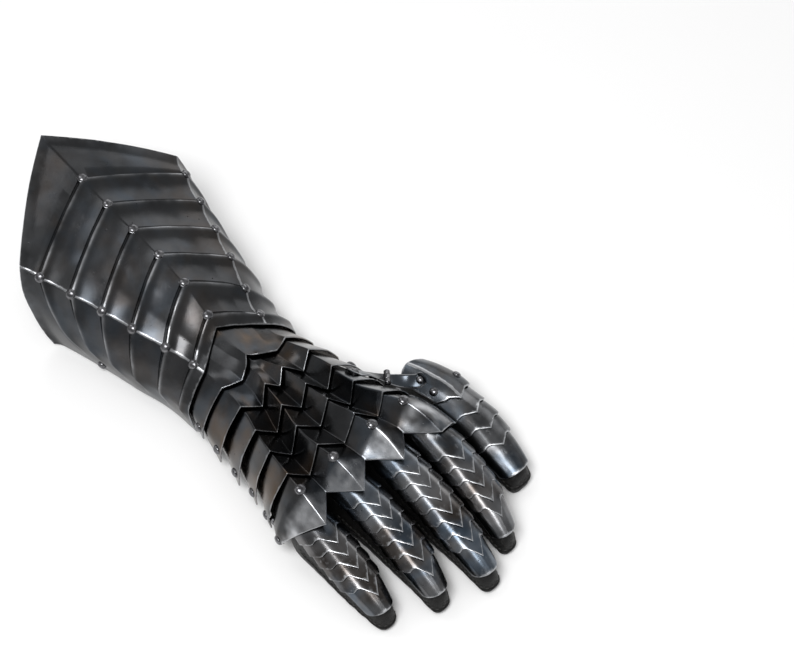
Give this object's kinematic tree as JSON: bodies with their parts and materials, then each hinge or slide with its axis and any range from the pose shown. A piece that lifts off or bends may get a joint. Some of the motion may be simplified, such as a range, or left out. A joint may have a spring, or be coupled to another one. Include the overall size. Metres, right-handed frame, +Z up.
{
  "type": "armoured gauntlet",
  "caption": "Right-hand armoured gauntlet of blackened steel: ribbed flared cuff, overlapping wrist and hand lames, gabled knuckle plate and ridged finger scales over a hollow black leather glove.",
  "frame": {"origin": "On the flattened underside of the palm, on the hand's centre line.", "axes": "+X runs from the cuff to the fingertips, +Y to the thumb's side, +Z up from the palm to the back of the hand."},
  "size_m": [0.3936, 0.1638, 0.0913],
  "materials": {
    "blackened_steel": "blackened and polished",
    "black_leather": "matte"
  },
  "bodies": {
    "root": {"cuff_plate": "blackened_steel", "glove": "black_leather", "hand_lame_1": "blackened_steel", "hand_lame_2": "blackened_steel", "hand_lame_3": "blackened_steel", "index_scale_1": "blackened_steel", "index_scale_2": "blackened_steel", "index_scale_3": "blackened_steel", "index_scale_4": "blackened_steel", "index_scale_5": "blackened_steel", "index_tip_plate": "blackened_steel", "knuckle_plate": "blackened_steel", "little_scale_1": "blackened_steel", "little_scale_2": "blackened_steel", "little_scale_3": "blackened_steel", "little_scale_4": "blackened_steel", "little_scale_5": "blackened_steel", "little_tip_plate": "blackened_steel", "middle_scale_1": "blackened_steel", "middle_scale_2": "blackened_steel", "middle_scale_3": "blackened_steel", "middle_scale_4": "blackened_steel", "middle_scale_5": "blackened_steel", "middle_scale_6": "blackened_steel", "middle_scale_7": "blackened_steel", "middle_tip_plate": "blackened_steel", "ring_scale_1": "blackened_steel", "ring_scale_2": "blackened_steel", "ring_scale_3": "blackened_steel", "ring_scale_4": "blackened_steel", "ring_scale_5": "blackened_steel", "ring_scale_6": "blackened_steel", "ring_tip_plate": "blackened_steel", "thumb_hinge": "blackened_steel", "thumb_plate": "blackened_steel", "thumb_scale_1": "blackened_steel", "thumb_scale_2": "blackened_steel", "thumb_scale_3": "blackened_steel", "thumb_tip_plate": "blackened_steel", "wrist_lame_1": "blackened_steel", "wrist_lame_2": "blackened_steel"}
  },
  "joints": []
}
